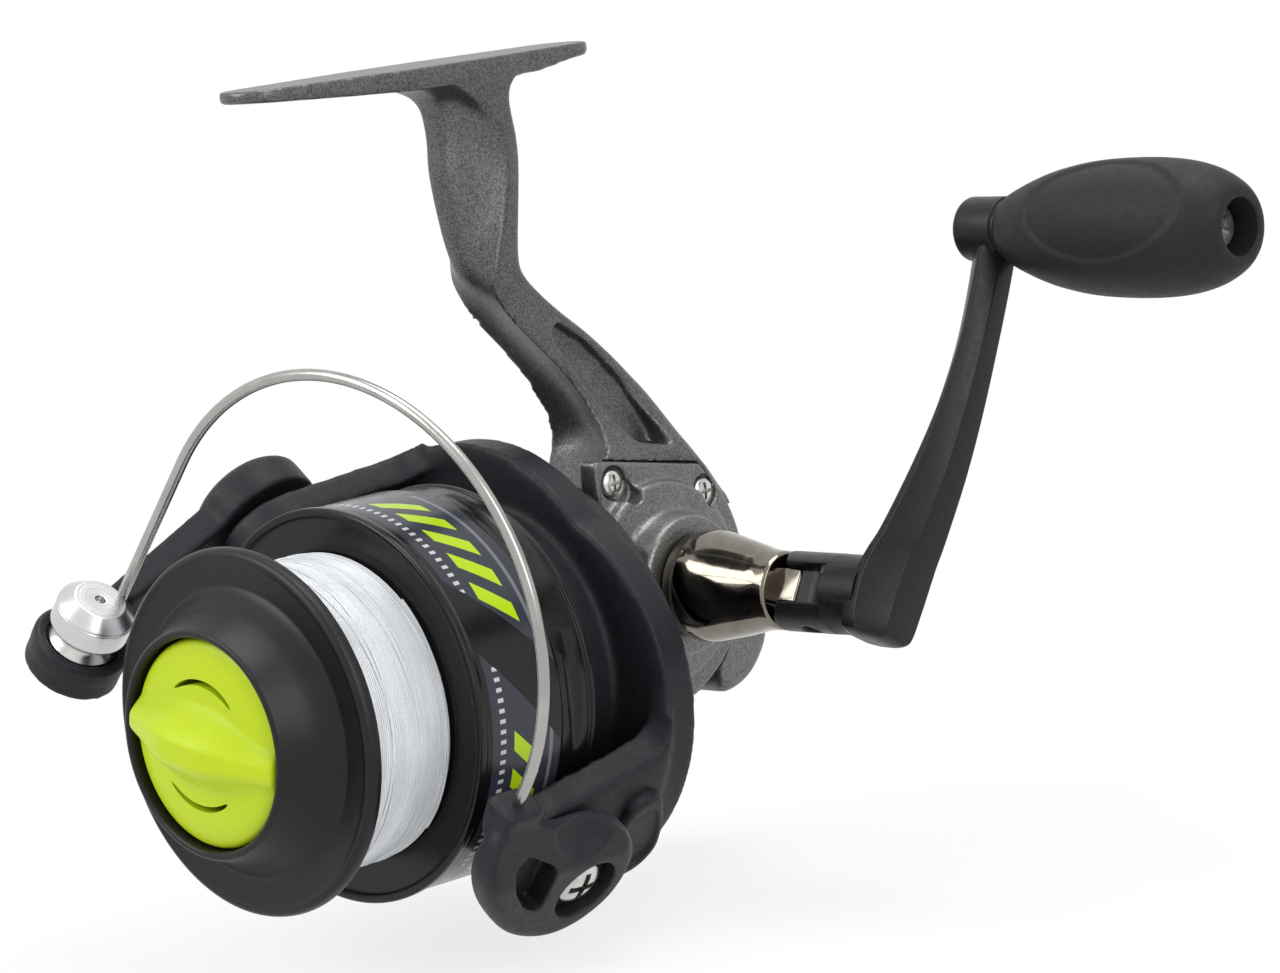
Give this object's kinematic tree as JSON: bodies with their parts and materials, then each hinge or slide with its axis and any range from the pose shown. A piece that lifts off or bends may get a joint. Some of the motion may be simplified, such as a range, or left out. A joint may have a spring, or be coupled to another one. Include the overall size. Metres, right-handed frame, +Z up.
{
  "type": "spinning reel",
  "caption": "Open-face fishing reel with a front drag knob, a skirted spool of line, a wire bail with a line roller, and a folding handle on a geared crank.",
  "frame": {"origin": "Middle of the foot's flat top, where the rod's seat holds the reel", "axes": "+Z up out of the foot towards the rod, +Y back along the main shaft, +X towards the handle's side"},
  "size_m": [0.16, 0.1307, 0.1311],
  "materials": {
    "gunmetal_paint": "metallic gunmetal paint with a fine sparkle",
    "cover_paint": "metallic gunmetal paint, a little warmer than the housing",
    "charcoal_plastic": "matt charcoal with a fine moulded grain",
    "black_gloss": "gloss black with turned highlights",
    "white_line": "glossy silver-white monofilament",
    "lime_plastic": "satin lime green",
    "steel": "polished steel",
    "clutch_steel": "ground steel",
    "brass": "machined brass",
    "aluminium": "turned aluminium",
    "black_chrome": "dark polished chrome",
    "satin_black": "satin black",
    "soft_black": "soft-touch black",
    "felt": "oiled felt"
  },
  "bodies": {
    "frame": {"body_housing": "gunmetal_paint", "side_cover": "cover_paint", "side_cover_screws": "steel", "rear_cap": "cover_paint", "left_drive_bearing": "steel", "right_drive_bearing": "steel", "pinion_bearing": "steel", "one_way_clutch": "clutch_steel", "clutch_rollers": "steel", "clutch_screws": "steel", "slider_guide_rod": "steel", "oscillation_post": "steel"},
    "anti_reverse": {"anti_reverse_lever": "charcoal_plastic"},
    "handle_drive": {"drive_gear": "aluminium", "handle_cone": "black_chrome", "fold_pin": "steel", "handle_lock_cap": "satin_black"},
    "handle": {"handle_arm": "satin_black", "knob_post": "steel", "knob_screw": "steel"},
    "grip": {"handle_knob": "soft_black"},
    "rotor": {"rotor": "charcoal_plastic", "rotor_arms": "charcoal_plastic", "pinion_gear": "brass", "clutch_sleeve": "steel", "rotor_nut": "steel", "pivot_screws": "steel", "bail_side_cover": "charcoal_plastic", "roller_side_cover": "charcoal_plastic", "bail_spring": "steel"},
    "bail": {"bail_arm": "charcoal_plastic", "roller_arm": "charcoal_plastic", "bail_wire": "steel", "roller_cap": "aluminium", "roller_post": "steel"},
    "roller": {"line_roller": "steel"},
    "shaft": {"main_shaft": "steel", "crosswind_slider": "brass", "slider_screw": "steel", "click_gear": "satin_black", "cross_pin": "steel", "keyed_washers": "steel"},
    "spool": {"spool": "black_gloss", "spool_skirt": "black_gloss", "line_core": "white_line", "line_winding": "white_line", "drag_washers": "felt", "washer_clip": "steel"},
    "drag": {"drag_knob": "lime_plastic", "drag_nut": "brass", "drag_spring": "steel"},
    "oscillation": {"oscillation_gear": "brass"}
  },
  "joints": [
    {"name": "handle_turn", "type": "hinge", "parent": "frame", "child": "handle_drive", "pos_m": [0, 0.0308, -0.0855], "axis": [1, 0, 0], "continuous": true},
    {"name": "handle_fold", "type": "hinge", "parent": "handle_drive", "child": "handle", "pos_m": [0.0467, 0.0308, -0.0855], "axis": [0, -0.4802, -0.8771], "range_deg": [0, 90]},
    {"name": "knob_turn", "type": "hinge", "parent": "handle", "child": "grip", "pos_m": [0.08, 0.05928, -0.03349], "axis": [1, 0, 0], "continuous": true},
    {"name": "rotor_turn", "type": "hinge", "parent": "frame", "child": "rotor", "pos_m": [0, 0, -0.094], "axis": [0, 1, 0], "continuous": true},
    {"name": "bail_flip", "type": "hinge", "parent": "rotor", "child": "bail", "pos_m": [0, -0.0137, -0.094], "axis": [0.766, 0, -0.6428], "range_deg": [0, 100]},
    {"name": "roller_turn", "type": "hinge", "parent": "bail", "child": "roller", "pos_m": [-0.03942, -0.04331, -0.08155], "axis": [0.6428, 0, 0.766], "continuous": true},
    {"name": "shaft_stroke", "type": "slide", "parent": "frame", "child": "shaft", "axis": [0, 1, 0], "range_m": [-0.0042, 0.0042]},
    {"name": "spool_turn", "type": "hinge", "parent": "shaft", "child": "spool", "pos_m": [0, 0, -0.094], "axis": [0, 1, 0], "continuous": true},
    {"name": "drag_turn", "type": "hinge", "parent": "shaft", "child": "drag", "pos_m": [0, 0, -0.094], "axis": [0, 1, 0], "range_deg": [-540, 540]},
    {"name": "oscillation_turn", "type": "hinge", "parent": "frame", "child": "oscillation", "pos_m": [-0.01, 0.0368, -0.09496], "axis": [1, 0, 0], "continuous": true},
    {"name": "anti_reverse_turn", "type": "hinge", "parent": "frame", "child": "anti_reverse", "pos_m": [-0.0076, 0.0243, -0.1], "axis": [0, 0, -1], "range_deg": [0, 35]}
  ],
  "couplings": [
    {"joint": "rotor_turn", "follows": "handle_turn", "ratio": 5},
    {"joint": "oscillation_turn", "follows": "handle_turn", "ratio": -0.77778}
  ]
}
